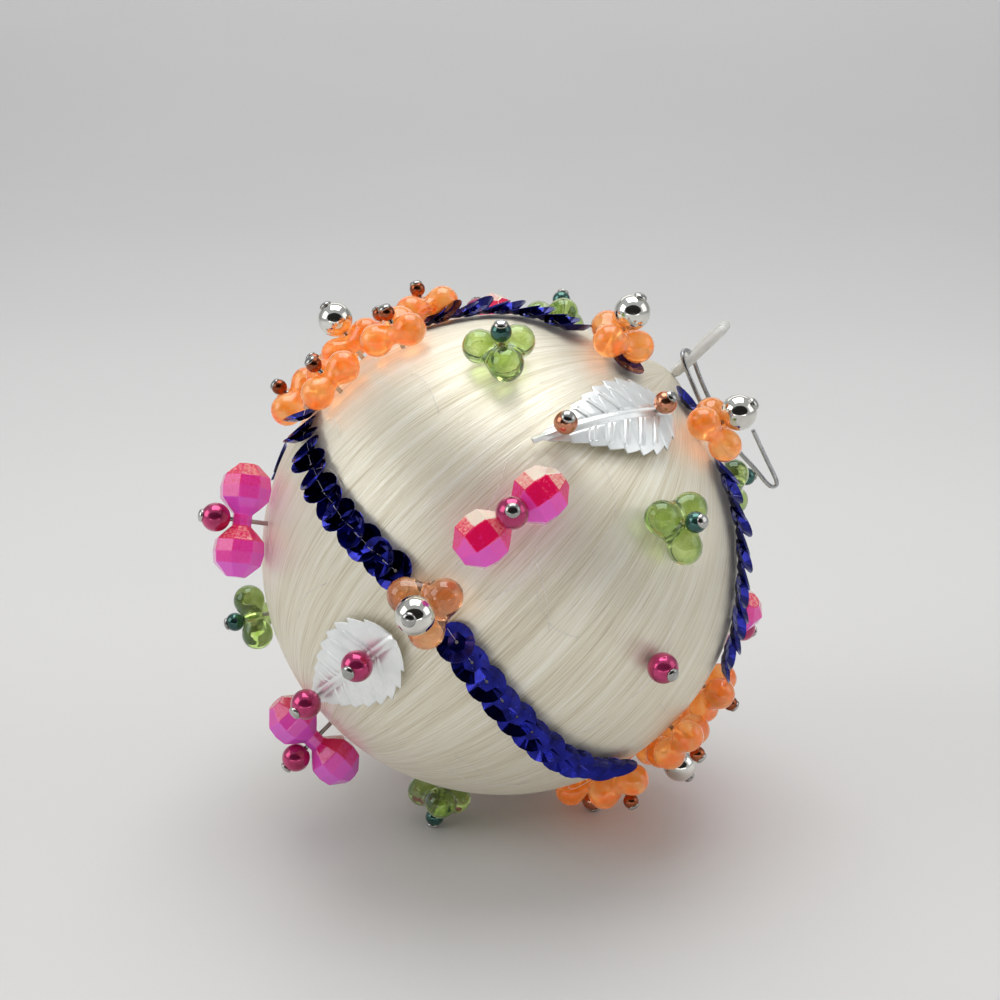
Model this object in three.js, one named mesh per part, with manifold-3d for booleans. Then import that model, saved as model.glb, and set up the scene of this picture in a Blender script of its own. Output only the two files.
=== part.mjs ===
// Beaded ball ornament lying on a table: a ball wound with satin floss, pinned all over with
// three-lobed beads, dumbbell beads, stamped leaves and pearls, and trimmed with three sequin
// strands that run from one bead cluster to the other. A plastic loop holds a wire hook.
import * as THREE from "three";
import { mergeVertices } from "three/addons/utils/BufferGeometryUtils.js";
import Module from "manifold-3d";

// Driving sizes in millimetres.
const ballRadius = 38.1;
const centreHeight = 43.45;
const clearance = 0.3;
const moundHeight = 1.2;
const moundSpread = 4.5;
const lobeRadius = 2.6;
const lobeOffset = 3.2;
const notchRadius = 3.5;
const notchHeight = 0.6;
const hubTop = 4.4;
const boreRadius = 0.8;
const shankRadius = 0.35;
const headRadius = 1.0;
const headRim = 0.35;
const headDome = 0.35;
const headShoulder = { reach: 0.6, rise: 0.75 };
const beadRadius = { silver: 2.65, copper: 1.65, bronze: 1.2, teal: 1.5, pearl: 2.2 };
const dumbbellRadius = 3.95;
const dumbbellReach = 8.6;
const dumbbellLobeAt = 4.9;
const neckRadius = 1.45;
const dumbbellHeight = 3.9;
const leafLength = 24;
const leafWidth = 13;
const leafThickness = 0.8;
const leafLift = 0.7;
const leafCrease = 0.45;
const leafTeeth = 8;
const leafNotch = 0.9;
const leafTipHalf = 0.35;
const leafFullest = 1.9;
const leafRoundness = 0.62;
const sequinRadius = 2.95;
const sequinBase = 1.5;
const sequinDepth = 0.8;
const threadRadius = 0.6;
const loopBar = 0.75;
const loopHalfWidth = 2.25;
const loopLength = 12;
const loopLean = 4;
const loopShift = 0.6;
const wireRadius = 0.35;
const tableSpan = 300;
const tableDepth = 20;

// Facets around each round piece, and steps along the long ones.
const facets = { ball: 34, lobed: 12, dumbbell: 8, pin: 6, bore: 6, sequin: 6, wire: 5, thread: 3 };
const loopFacets = { around: 20, bar: 6 };
const steps = { ball: 20, bead: 4, wire: 42 };

// The ball's own axes: latitude rises to the upper cluster, longitude is counted from the flower
// in the middle of the front strand. As it lies, its pole leans over and it is spun about it.
const poleAzimuth = 170.7;
const poleLean = 43.9;
const poleSpin = 86.2;

const hanger = { lat: 4.7, lon: 102.9, turn: 0 };

// Bead flowers: turn points the first lobe away from the upper pole, in degrees.
const flowers = [
  { name: "front_flower", slot: "orange", top: "silver", lat: 8.8, lon: 5.1, turn: 319 },
  { name: "hanger_flower_a", slot: "orange", top: "silver", lat: 19, lon: 85, turn: 256 },
  { name: "hanger_flower_b", slot: "orange", top: "silver", lat: -8.1, lon: 83.3, turn: 235 },
  { name: "back_flower", slot: "orange", top: "silver", lat: 6, lon: -130, turn: 180 },
  { name: "green_top", slot: "green", top: "teal", lat: 35.7, lon: 58.5, turn: 75 },
  { name: "green_right", slot: "green", top: "teal", lat: -14.1, lon: 53.4, turn: 94 },
  { name: "green_left", slot: "green", top: "teal", lat: 28.8, lon: -71, turn: 38 },
  { name: "green_foot", slot: "green", top: "teal", lat: -32.4, lon: -68.2, turn: 88, rests: true },
  { name: "green_back_high", slot: "green", top: "teal", lat: 31, lon: 129, turn: 30, joined: true },
  { name: "green_back_low", slot: "green", top: "teal", lat: -27, lon: 124, turn: 10, joined: true },
];

// Clusters: one flower in the middle and a ring around it, start and spread in degrees.
const clusters = [
  { name: "upper", lat: 80.4, lon: 77.3, start: 35, spread: 17.4 },
  { name: "lower", lat: -86.3, lon: -55.3, start: 28, spread: 17.4, foot: 3, footSpread: 20.3 },
];
const ringCount = 6;
const ringTurn = 47;

const dumbbells = [
  { name: "dumbbell_front", lat: 10.2, lon: 28.5, turn: 83 },
  { name: "dumbbell_left", lat: 49.6, lon: -44, turn: 172 },
  { name: "dumbbell_low", lat: -0.8, lon: -63.1, turn: 173 },
  { name: "dumbbell_foot", lat: -27.6, lon: -108.6, turn: -6, joined: true, rests: true },
  { name: "dumbbell_back_high", lat: 43, lon: 152, turn: 90, joined: true },
  { name: "dumbbell_back_low", lat: -59, lon: 140, turn: 75, joined: true },
];

// Leaves: the tip points along minus turn, and a beaded pin holds each end.
const leaves = [
  { name: "leaf_right", lat: 10, lon: 60.3, turn: 61.4, bead: "copper", pins: [-7.7, 8.5] },
  { name: "leaf_left", lat: 8.8, lon: -23.5, turn: 90.3, bead: "pearl", pins: [-7.3, 6.6] },
  { name: "leaf_back", lat: 2, lon: 168, turn: 40, bead: "copper", pins: [-7.7, 8.5], joined: true },
];

const pearls = [
  { name: "pearl_front", lat: -34.9, lon: 31.8, turn: 0 },
  { name: "pearl_back", lat: -36, lon: 186, turn: 0 },
];

// Sequin strands, half by half: stations the thread passes, and the tilt of the discs in degrees.
const strands = [
  {
    name: "strand_front_upper", count: 9, tilt: 22,
    stations: [
      { lat: 63, lon: -7.5 },
      { lat: 45, lon: -2.9 },
      { lat: 33, lon: 0.1 },
      { lat: 21.5, lon: 3.5 },
    ],
  },
  {
    name: "strand_front_lower", count: 12, tilt: 17,
    stations: [
      { lat: -1.5, lon: 4 },
      { lat: -15, lon: 1.3 },
      { lat: -34, lon: -2.6 },
      { lat: -48, lon: -4 },
      { lat: -60, lon: -2.5 },
    ],
  },
  {
    name: "strand_hanger_upper", count: 7, tilt: 22,
    stations: [
      { lat: 57, lon: 92 },
      { lat: 47, lon: 95 },
      { lat: 37, lon: 91.5 },
      { lat: 28, lon: 86 },
    ],
  },
  {
    name: "strand_hanger_lower", count: 9, tilt: 22,
    stations: [
      { lat: -20, lon: 82 },
      { lat: -31, lon: 79 },
      { lat: -43, lon: 73 },
      { lat: -58, lon: 66 },
    ],
  },
  {
    name: "strand_back_upper", count: 9, tilt: 30,
    stations: [
      { lat: 64, lon: -88 },
      { lat: 50, lon: -108 },
      { lat: 34, lon: -121 },
      { lat: 18.5, lon: -128 },
    ],
  },
  {
    name: "strand_back_lower", count: 9, tilt: 30,
    stations: [
      { lat: -6, lon: -131 },
      { lat: -24, lon: -130 },
      { lat: -42, lon: -127 },
      { lat: -55, lon: -122 },
    ],
  },
];

// Wire hook, from the end of its short leg to its free tip: south and east of the hanger, and
// out from the ball.
const hookRoute = [
  { south: 10, east: -3.8, out: -0.1 },
  { south: 6.7, east: -3.8, out: 0.8 },
  { south: 3.2, east: -3.8, out: 2.3 },
  { south: 0.6, east: -3.8, out: 3.5 },
  { south: -0.6, east: -3.4, out: 4.3 },
  { south: -0.9, east: -2.2, out: 4.9 },
  { south: -0.4, east: -0.8, out: 5.4 },
  { south: 0.8, east: -0.1, out: 5.4 },
  { south: 2.3, east: 0.3, out: 4.6 },
  { south: 5, east: 0.8, out: 3.3 },
  { south: 8.8, east: 1.6, out: 1.8 },
  { south: 12.5, east: 2.2, out: 0.5 },
  { south: 16.5, east: 2.6, out: -0.6 },
  { south: 21, east: 2.8, out: -1 },
  { south: 24.3, east: 2.9, out: -1.4 },
  { south: 25.2, east: 2.9, out: -0.8 },
  { south: 24.6, east: 2.8, out: 0 },
  { south: 20.5, east: 2.4, out: 1.6 },
  { south: 16.2, east: 2, out: 3.3 },
];

const finishes = {
  satin: { color: 0xeae6d6, roughness: 0.5, metalness: 0 },
  sequin: { color: 0x14145a, roughness: 0.25, metalness: 0.7 },
  orange: { color: 0xff7a33, roughness: 0.15, metalness: 0 },
  green: { color: 0x9cc65a, roughness: 0.12, metalness: 0 },
  pink: { color: 0xe0398c, roughness: 0.18, metalness: 0 },
  pearl: { color: 0xc2356f, roughness: 0.2, metalness: 0.6 },
  silver: { color: 0xd6d6d0, roughness: 0.12, metalness: 1 },
  copper: { color: 0xb06a4a, roughness: 0.22, metalness: 0.9 },
  teal: { color: 0x3f7f6e, roughness: 0.15, metalness: 0.5 },
  leaf: { color: 0xdcdcdc, roughness: 0.25, metalness: 0.8 },
  plastic: { color: 0xe8e8e4, roughness: 0.3, metalness: 0 },
  wire: { color: 0x77797c, roughness: 0.3, metalness: 1 },
};

const wasm = await Module();
wasm.setup();

const rad = THREE.MathUtils.degToRad;
const axisX = new THREE.Vector3(1, 0, 0);
const axisY = new THREE.Vector3(0, 1, 0);
const axisZ = new THREE.Vector3(0, 0, 1);

function turned(axis, degrees) {
  return new THREE.Quaternion().setFromAxisAngle(axis, rad(degrees));
}

function spherePoint(lat, lon, radius) {
  const level = radius * Math.cos(rad(lat));
  const height = radius * Math.sin(rad(lat));
  return new THREE.Vector3(level * Math.cos(rad(lon)), level * Math.sin(rad(lon)), height);
}

// Closed solids, joined and cut.
function solidOf(geometry) {
  const bare = geometry.clone();
  bare.deleteAttribute("normal");
  bare.deleteAttribute("uv");
  const merged = mergeVertices(bare, 1e-4);
  return new wasm.Manifold(
    new wasm.Mesh({
      numProp: 3,
      vertProperties: new Float32Array(merged.attributes.position.array),
      triVerts: new Uint32Array(merged.index.array),
    }),
  );
}

function geometryOf(solid) {
  const mesh = solid.getMesh();
  const geometry = new THREE.BufferGeometry();
  geometry.setAttribute("position", new THREE.BufferAttribute(mesh.vertProperties, 3));
  geometry.setIndex(new THREE.BufferAttribute(mesh.triVerts, 1));
  geometry.computeVertexNormals();
  return geometry;
}

function joined(geometries) {
  return geometryOf(geometries.map(solidOf).reduce((whole, next) => whole.add(next)));
}

function cutFrom(geometry, tools) {
  return geometryOf(tools.map(solidOf).reduce((rest, tool) => rest.subtract(tool), solidOf(geometry)));
}

// Shapes that stand on the ball: their local Z points out of it and zero is its surface.
function lathe(profile, sides) {
  const points = profile.map((p) => new THREE.Vector2(p.r, p.z));
  return new THREE.LatheGeometry(points, sides).rotateX(Math.PI / 2);
}

function rod(radius, from, to) {
  const length = to - from;
  return new THREE.CylinderGeometry(radius, radius, length, facets.bore)
    .rotateX(Math.PI / 2)
    .translate(0, 0, from + length / 2);
}

function headedPin(bead, seatHeight, from) {
  const radius = beadRadius[bead];
  const centre = seatHeight + clearance + radius;
  const profile = [
    { r: 0, z: from },
    { r: shankRadius, z: from },
  ];
  const lowest = -Math.acos(shankRadius / radius);
  const highest = Math.acos(headRadius / radius);
  for (let i = 0; i <= steps.bead; i++) {
    const angle = THREE.MathUtils.lerp(lowest, highest, i / steps.bead);
    profile.push({ r: radius * Math.cos(angle), z: centre + radius * Math.sin(angle) });
  }
  const rimTop = centre + radius * Math.sin(highest) + headRim;
  profile.push({ r: headRadius, z: rimTop });
  profile.push({ r: headRadius * headShoulder.reach, z: rimTop + headDome * headShoulder.rise });
  profile.push({ r: 0, z: rimTop + headDome });
  return lathe(profile, facets.pin);
}

// Reach of the three-lobed outline and its share of full height, at an angle about the bead's axis.
function lobeOutline(angle) {
  const third = (2 * Math.PI) / 3;
  const fromNotch = THREE.MathUtils.euclideanModulo(angle + third / 2, third);
  const fromLobe = Math.abs(fromNotch - third / 2);
  const across = lobeOffset * Math.sin(fromLobe);
  const inside = Math.max(0, lobeRadius * lobeRadius - across * across);
  const sink = fromLobe / (third / 2);
  return {
    reach: Math.max(notchRadius, lobeOffset * Math.cos(fromLobe) + Math.sqrt(inside)),
    height: 1 + (notchHeight - 1) * sink * sink,
  };
}

// A lathed button whose rim is drawn out into three lobes, with a bore where its pin is a piece apart.
function threeLobedBead(bored) {
  const middle = clearance + lobeRadius;
  const hub = { r: bored ? boreRadius : 0, z: hubTop - middle };
  const rim = [
    { r: 0.55, z: -lobeRadius, lobed: true },
    { r: 0.86, z: -0.65 * lobeRadius, lobed: true },
    { r: 1, z: 0, lobed: true },
    { r: 0.86, z: 0.65 * lobeRadius, lobed: true },
    { r: 0.55, z: lobeRadius, lobed: true },
  ];
  const profile = [{ r: hub.r, z: -hub.z }, ...rim, hub];
  if (bored) profile.push(profile[0]);
  const bead = lathe(profile, facets.lobed);
  const place = bead.attributes.position;
  for (let i = 0; i < place.count; i++) {
    const row = profile[i % profile.length];
    if (!row.lobed) continue;
    const angle = Math.atan2(place.getY(i), place.getX(i));
    const outline = lobeOutline(angle);
    const reach = row.r * outline.reach;
    place.setXYZ(i, reach * Math.cos(angle), reach * Math.sin(angle), row.z * outline.height);
  }
  return bead.translate(0, 0, middle);
}

function dumbbell(bored) {
  const half = [
    { r: neckRadius, z: 0.9 },
    { r: 2.5, z: 1.9 },
    { r: 3.65, z: 3.3 },
    { r: dumbbellRadius, z: dumbbellLobeAt },
    { r: 3.45, z: 6.7 },
    { r: 1.5, z: dumbbellReach },
    { r: 0, z: dumbbellReach },
  ];
  const mirrored = half.map((p) => ({ r: p.r, z: -p.z })).reverse();
  const bead = lathe([...mirrored, ...half], facets.dumbbell)
    .rotateZ(Math.PI / facets.dumbbell)
    .rotateY(Math.PI / 2)
    .translate(0, 0, dumbbellHeight);
  return bored ? cutFrom(bead, [rod(boreRadius, 0, dumbbellHeight * 2)]) : bead;
}

const leafPinSeat = leafLift + leafThickness + leafCrease;

// A point of a flat piece, laid over the ball at its own height.
function wrapped(x, y, z) {
  return new THREE.Vector3(0, 0, ballRadius + z)
    .applyAxisAngle(axisX, -y / ballRadius)
    .applyAxisAngle(axisY, x / ballRadius)
    .sub(new THREE.Vector3(0, 0, ballRadius));
}

function leafBlade(pins) {
  const edgeSteps = leafTeeth * 2;
  const blade = new THREE.BoxGeometry(leafLength, 2, leafThickness, edgeSteps, 2, 1);
  const place = blade.attributes.position;
  for (let i = 0; i < place.count; i++) {
    const along = place.getX(i) / leafLength + 0.5;
    const tooth = Math.round(along * edgeSteps) % 2 ? 1 : leafNotch;
    const rounded = Math.max(0, Math.sin(Math.PI * Math.pow(along, leafFullest)));
    const halfWidth = Math.max(leafTipHalf, (leafWidth / 2) * tooth * Math.pow(rounded, leafRoundness));
    const side = place.getY(i);
    const height = leafLift + leafThickness / 2 + place.getZ(i) + leafCrease * (1 - Math.abs(side));
    const spot = wrapped(place.getX(i), side * halfWidth, height);
    place.setXYZ(i, spot.x, spot.y, spot.z);
  }
  const holes = pins.map((at) => rod(boreRadius, 0, 2 * leafPinSeat).applyMatrix4(swungAlong(at)));
  return cutFrom(blade, holes);
}

// Moves a shape along a piece's own X, keeping it square to the ball.
function swungAlong(at) {
  const swing = turned(axisY, THREE.MathUtils.radToDeg(at / ballRadius));
  const centre = new THREE.Vector3(0, 0, -ballRadius);
  const place = new THREE.Vector3(0, 0, ballRadius).applyQuaternion(swing).add(centre);
  return new THREE.Matrix4().compose(place, swing, new THREE.Vector3(1, 1, 1));
}

// Ball wound about the hanger's axis, gathered into a low mound under the loop.
function woundBall() {
  const profile = [];
  for (let i = 0; i <= steps.ball; i++) {
    const polar = Math.PI * (1 - i / steps.ball);
    const fromMound = (polar * ballRadius) / moundSpread;
    const radius = ballRadius + moundHeight * Math.exp(-fromMound * fromMound);
    profile.push({ r: i % steps.ball ? radius * Math.sin(polar) : 0, z: radius * Math.cos(polar) });
  }
  return lathe(profile, facets.ball);
}

function hangingLoop() {
  const loop = new THREE.TorusGeometry(loopHalfWidth, loopBar, loopFacets.bar, loopFacets.around);
  const straight = loopLength - 2 * (loopHalfWidth + loopBar);
  const place = loop.attributes.position;
  for (let i = 0; i < place.count; i++) {
    if (place.getY(i) > 0.01) place.setY(i, place.getY(i) + straight);
  }
  return loop
    .rotateX(Math.PI / 2)
    .rotateZ(Math.PI / 2)
    .translate(0, 0, loopHalfWidth + loopBar)
    .rotateY(rad(loopLean))
    .translate(loopShift, 0, moundHeight + clearance);
}

function tube(curve, radius, sides, stepCount) {
  const section = new THREE.Shape();
  for (let i = 0; i < sides; i++) {
    const angle = (2 * Math.PI * i) / sides;
    const x = radius * Math.cos(angle);
    const y = radius * Math.sin(angle);
    if (i) section.lineTo(x, y);
    else section.moveTo(x, y);
  }
  section.closePath();
  return new THREE.ExtrudeGeometry(section, { steps: stepCount, bevelEnabled: false, extrudePath: curve });
}

function wireHook() {
  const points = hookRoute.map((p) => new THREE.Vector3(p.south, p.east, p.out));
  const route = new THREE.CatmullRomCurve3(points, false, "centripetal");
  return tube(route, wireRadius, facets.wire, steps.wire);
}

// Height of the thread at which the lowest point of a tilted disc just clears the floss.
function strandLift(tilt) {
  const sine = Math.sin(rad(tilt));
  const halfDepth = (sequinDepth / 2) * Math.cos(rad(tilt));
  return clearance + Math.max(sequinRadius * sine - halfDepth, sequinBase * sine + halfDepth);
}

function strandHalf(row) {
  const radius = ballRadius + strandLift(row.tilt);
  const points = row.stations.map((s) => spherePoint(s.lat, s.lon, radius));
  const curve = new THREE.CatmullRomCurve3(points);
  const pieces = [tube(curve, threadRadius, facets.thread, Math.ceil(row.count / 2))];
  for (let i = 0; i < row.count; i++) {
    const at = (i + 0.5) / row.count;
    const centre = curve.getPointAt(at);
    const along = curve.getTangentAt(at);
    const out = centre.clone().normalize();
    const side = new THREE.Vector3().crossVectors(out, along).normalize();
    const cup = new THREE.CylinderGeometry(sequinRadius, sequinBase, sequinDepth, facets.sequin);
    const tilted = new THREE.Matrix4()
      .makeBasis(side, out, new THREE.Vector3().crossVectors(side, out))
      .multiply(new THREE.Matrix4().makeRotationX(-rad(row.tilt)));
    pieces.push(cup.applyMatrix4(tilted.setPosition(centre)));
  }
  return joined(pieces);
}

// Nested groups lay the ball on the table: spun about its pole, leaned over, turned and lifted.
const ornament = new THREE.Group();
const azimuthGroup = new THREE.Group();
const leanGroup = new THREE.Group();
const ballAxes = new THREE.Group();
ornament.position.z = centreHeight;
azimuthGroup.rotation.z = rad(poleAzimuth);
leanGroup.rotation.y = rad(poleLean);
ballAxes.rotation.z = rad(poleSpin);
ornament.add(azimuthGroup);
azimuthGroup.add(leanGroup);
leanGroup.add(ballAxes);

function add(name, geometry, slot) {
  const mesh = new THREE.Mesh(geometry, new THREE.MeshStandardMaterial(finishes[slot]));
  mesh.name = name;
  ballAxes.add(mesh);
  return mesh;
}

// Stands a mesh on the ball at its latitude and longitude, turned about the outward line.
function seat(mesh, row, at = 0) {
  mesh.quaternion
    .copy(turned(axisZ, row.lon))
    .multiply(turned(axisY, 90 - row.lat))
    .multiply(turned(axisZ, row.turn))
    .multiply(turned(axisY, THREE.MathUtils.radToDeg(at / ballRadius)));
  mesh.position.set(0, 0, ballRadius).applyQuaternion(mesh.quaternion);
  return mesh;
}

// Cuts the small flat on which a bead's pin head meets the table.
function flattened(mesh) {
  mesh.updateWorldMatrix(true, false);
  const toMesh = mesh.matrixWorld.clone().invert();
  const table = new THREE.BoxGeometry(tableSpan, tableSpan, tableDepth).translate(0, 0, -tableDepth / 2);
  mesh.geometry = cutFrom(mesh.geometry, [table.applyMatrix4(toMesh)]);
}

function addStack(row, body, pin, slot, pinSlot) {
  const meshes = row.joined
    ? [add(row.name, joined([body, pin]), slot)]
    : [add(row.name, body, slot), add(row.name + "_pin", pin, pinSlot)];
  meshes.forEach((mesh) => {
    seat(mesh, row);
    if (row.rests) flattened(mesh);
  });
}

seat(add("satin_ball", woundBall().translate(0, 0, -ballRadius), "satin"), hanger);
seat(add("hang_loop", hangingLoop(), "plastic"), hanger);
seat(add("wire_hook", wireHook(), "wire"), hanger);

strands.forEach((row) => add(row.name, strandHalf(row), "sequin"));

function addFlower(row) {
  const pin = headedPin(row.top, hubTop, row.joined ? hubTop - 1 : clearance);
  addStack(row, threeLobedBead(!row.joined), pin, row.slot, row.top);
}
flowers.forEach(addFlower);

// Ring places are swung out from the cluster's middle and read back as latitude and longitude.
clusters.forEach((cluster) => {
  const row = { slot: "orange", joined: true };
  const middle = { ...row, name: cluster.name + "_cluster_middle", top: "silver", turn: 0 };
  addFlower({ ...middle, lat: cluster.lat, lon: cluster.lon });
  const toMiddle = turned(axisZ, cluster.lon).multiply(turned(axisY, 90 - cluster.lat));
  for (let i = 0; i < ringCount; i++) {
    const spread = i === cluster.foot ? cluster.footSpread : cluster.spread;
    const around = turned(axisZ, cluster.start + (360 / ringCount) * i).multiply(turned(axisY, spread));
    const place = new THREE.Vector3(0, 0, 1).applyQuaternion(around).applyQuaternion(toMiddle);
    addFlower({
      ...row,
      name: cluster.name + "_cluster_" + (i + 1),
      top: i === cluster.foot ? "copper" : "bronze",
      lat: THREE.MathUtils.radToDeg(Math.asin(place.z)),
      lon: THREE.MathUtils.radToDeg(Math.atan2(place.y, place.x)),
      turn: ringTurn * i,
      rests: i === cluster.foot,
    });
  }
});

dumbbells.forEach((row) => {
  const pin = headedPin("pearl", dumbbellHeight + neckRadius, row.joined ? dumbbellHeight : clearance);
  addStack(row, dumbbell(!row.joined), pin, "pink", "pearl");
});

leaves.forEach((row) => {
  const pin = () => headedPin(row.bead, leafPinSeat, clearance);
  if (row.joined) {
    const placed = row.pins.map((at) => pin().applyMatrix4(swungAlong(at)));
    seat(add(row.name, joined([leafBlade([]), ...placed]), "leaf"), row);
    return;
  }
  seat(add(row.name, leafBlade(row.pins), "leaf"), row);
  row.pins.forEach((at, i) => {
    seat(add(row.name + "_pin_" + (i + 1), pin(), row.bead), row, at);
  });
});

pearls.forEach((row) => seat(add(row.name, headedPin("pearl", 0, clearance), "pearl"), row));

// The origin is on the table, under the middle of the ornament's box.
ornament.updateMatrixWorld(true);
const middle = new THREE.Box3().setFromObject(ornament, true).getCenter(new THREE.Vector3());
ornament.position.x -= middle.x;
ornament.position.y -= middle.y;

export default ornament;
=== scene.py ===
# Beaded ball ornament on a pale sweep: satin floss ball, cup sequins, pinned beads,
# foil leaves, hanging loop and wire hook.
import math
import random

import bmesh
import bpy
from mathutils import Matrix, Vector, noise


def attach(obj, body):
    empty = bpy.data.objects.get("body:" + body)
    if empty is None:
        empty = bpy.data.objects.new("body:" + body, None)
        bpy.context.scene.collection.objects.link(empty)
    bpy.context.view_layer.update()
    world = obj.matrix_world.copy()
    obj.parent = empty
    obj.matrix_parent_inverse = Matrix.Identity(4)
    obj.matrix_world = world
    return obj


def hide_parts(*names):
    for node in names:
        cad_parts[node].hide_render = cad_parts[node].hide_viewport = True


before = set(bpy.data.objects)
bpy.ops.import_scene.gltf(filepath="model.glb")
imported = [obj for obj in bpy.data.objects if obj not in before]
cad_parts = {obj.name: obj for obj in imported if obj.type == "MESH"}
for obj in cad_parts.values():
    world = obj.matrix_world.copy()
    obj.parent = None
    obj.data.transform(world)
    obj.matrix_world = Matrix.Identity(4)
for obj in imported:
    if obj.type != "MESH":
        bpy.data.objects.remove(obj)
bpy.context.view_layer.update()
dice = random.Random(11)
mm = 0.001
print("frame loaded:", len(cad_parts), "nodes")

# the ball lies over: its pole leans, then it is spun and lifted off the table
ball = {
    "radius": 38.1,
    "centre": (0.639, 2.647, 43.45),
    "poleAzimuth": 170.7,
    "poleLean": 43.9,
    "poleSpin": 86.2,
    "hanger": (4.7, 102.9),
    "moundHeight": 1.2,
    "moundSpread": 4.5,
    "around": 560,
    "rings": 120,
    "grooves": ((26, 0.05), (95, 0.04), (240, 0.03)),   # grooves around the ball and their depth
    "grooveWander": 0.06,       # how fast a groove changes along a thread
    "poleFade": 6.0,            # grooves fade out where the threads gather
    "flossLength": 0.012,
}


def spin(axis, degrees):
    return Matrix.Rotation(math.radians(degrees), 4, axis)


toRow = Matrix.Scale(mm, 4) @ Matrix.Translation(ball["centre"])
lieTurn = spin("Z", ball["poleAzimuth"]) @ spin("Y", ball["poleLean"]) @ spin("Z", ball["poleSpin"])


def seatTurn(lat, lon, turn=0.0, along=0.0):
    swing = spin("Y", math.degrees(along / ball["radius"]))
    return lieTurn @ spin("Z", lon) @ spin("Y", 90 - lat) @ spin("Z", turn) @ swing


def seat(lat, lon, turn=0.0, along=0.0):   # local millimetres: X south, Y east, Z out of the ball
    return toRow @ seatTurn(lat, lon, turn, along) @ Matrix.Translation((0, 0, ball["radius"]))


def unitPoint(lat, lon):
    level = math.cos(math.radians(lat))
    east = math.radians(lon)
    return Vector((level * math.cos(east), level * math.sin(east), math.sin(math.radians(lat))))


def bendOver(x, y, height):   # a flat spot bent over the ball, its height counted from the ball's centre
    lay = Matrix.Rotation(x / ball["radius"], 3, "Y") @ Matrix.Rotation(-y / ball["radius"], 3, "X")
    return lay @ Vector((0, 0, height)) - Vector((0, 0, ball["radius"]))


def tone(red, green, blue):   # screen colour to the linear colour that shaders take
    def straight(c):
        c /= 255
        return c / 12.92 if c < 0.04045 else ((c + 0.055) / 1.055) ** 2.4
    return (straight(red), straight(green), straight(blue), 1.0)


# shader helpers
def addNode(tree, kind, inputs=None, **settings):
    made = tree.nodes.new(kind)
    for key, value in settings.items():
        setattr(made, key, value)
    for key, value in (inputs or {}).items():
        if isinstance(value, bpy.types.NodeSocket):
            tree.links.new(value, made.inputs[key])
        else:
            made.inputs[key].default_value = value
    return made


def ramp(tree, factor, stops):
    made = addNode(tree, "ShaderNodeValToRGB", {"Fac": factor})
    while len(made.color_ramp.elements) < len(stops):
        made.color_ramp.elements.new(1.0)
    for element, (at, colour) in zip(made.color_ramp.elements, stops):
        element.position = at
        element.color = colour
    return made.outputs["Color"]


def blendColours(tree, factor, first, second):
    made = addNode(tree, "ShaderNodeMix", data_type="RGBA", clamp_factor=True)
    for index, value in ((0, factor), (6, first), (7, second)):
        if isinstance(value, bpy.types.NodeSocket):
            tree.links.new(value, made.inputs[index])
        else:
            made.inputs[index].default_value = value
    return made.outputs[2]


def newFinish(name, sockets):
    material = bpy.data.materials.new(name)
    material.use_nodes = True
    shader = material.node_tree.nodes["Principled BSDF"]
    for key, value in sockets.items():
        shader.inputs[key].default_value = value
    return material, material.node_tree, shader


def newGroup(name, inputs, outputs):
    group = bpy.data.node_groups.new(name, "ShaderNodeTree")
    for key, value in inputs:
        socket = group.interface.new_socket(key, in_out="INPUT", socket_type="NodeSocketFloat")
        socket.default_value = value
    for key, kind in outputs:
        group.interface.new_socket(key, in_out="OUTPUT", socket_type=kind)
    return group, group.nodes.new("NodeGroupInput"), group.nodes.new("NodeGroupOutput")


cloudSpan = (0.3, 0.7)   # where most of a noise texture's values lie


def mottleGroup():   # slow unevenness plus fine specks, for any moulded, coated or plated surface
    inputs = (("Scale", 300.0), ("Low", 0.0), ("High", 1.0), ("Speck Scale", 900.0), ("Speck Size", 0.1))
    outputs = (("Value", "NodeSocketFloat"), ("Specks", "NodeSocketFloat"), ("Height", "NodeSocketFloat"))
    group, given, result = newGroup("surfaceMottle", inputs, outputs)
    place = addNode(group, "ShaderNodeTexCoord").outputs["Object"]
    cloud = addNode(group, "ShaderNodeTexNoise", {
        "Vector": place, "Scale": given.outputs["Scale"], "Detail": 4.0})
    spread = addNode(group, "ShaderNodeMapRange", {
        "Value": cloud.outputs["Fac"], "From Min": cloudSpan[0], "From Max": cloudSpan[1],
        "To Min": given.outputs["Low"], "To Max": given.outputs["High"]})
    cells = addNode(group, "ShaderNodeTexVoronoi", {"Vector": place, "Scale": given.outputs["Speck Scale"]})
    specks = addNode(group, "ShaderNodeMath", {
        0: cells.outputs["Distance"], 1: given.outputs["Speck Size"]}, operation="LESS_THAN")
    group.links.new(spread.outputs["Result"], result.inputs["Value"])
    group.links.new(specks.outputs[0], result.inputs["Specks"])
    group.links.new(cloud.outputs["Fac"], result.inputs["Height"])
    return group


mottle = mottleGroup()


def addMottle(tree, scale, span=(0.0, 1.0), specks=None):
    values = {"Scale": scale, "Low": span[0], "High": span[1]}
    made = addNode(tree, "ShaderNodeGroup", values, node_tree=mottle)
    if specks:
        made.inputs["Speck Scale"].default_value = specks[0]
        made.inputs["Speck Size"].default_value = specks[1]
    return made


def addBump(tree, shader, height, strength, distance):
    bump = addNode(tree, "ShaderNodeBump", {"Height": height, "Strength": strength, "Distance": distance})
    tree.links.new(bump.outputs["Normal"], shader.inputs["Normal"])


def addRange(tree, shader, value, span, roughness):   # roughness that follows a value
    made = addNode(tree, "ShaderNodeMapRange", {
        "Value": value, "From Min": span[0], "From Max": span[1],
        "To Min": roughness[0], "To Max": roughness[1]})
    tree.links.new(made.outputs["Result"], shader.inputs["Roughness"])


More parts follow.
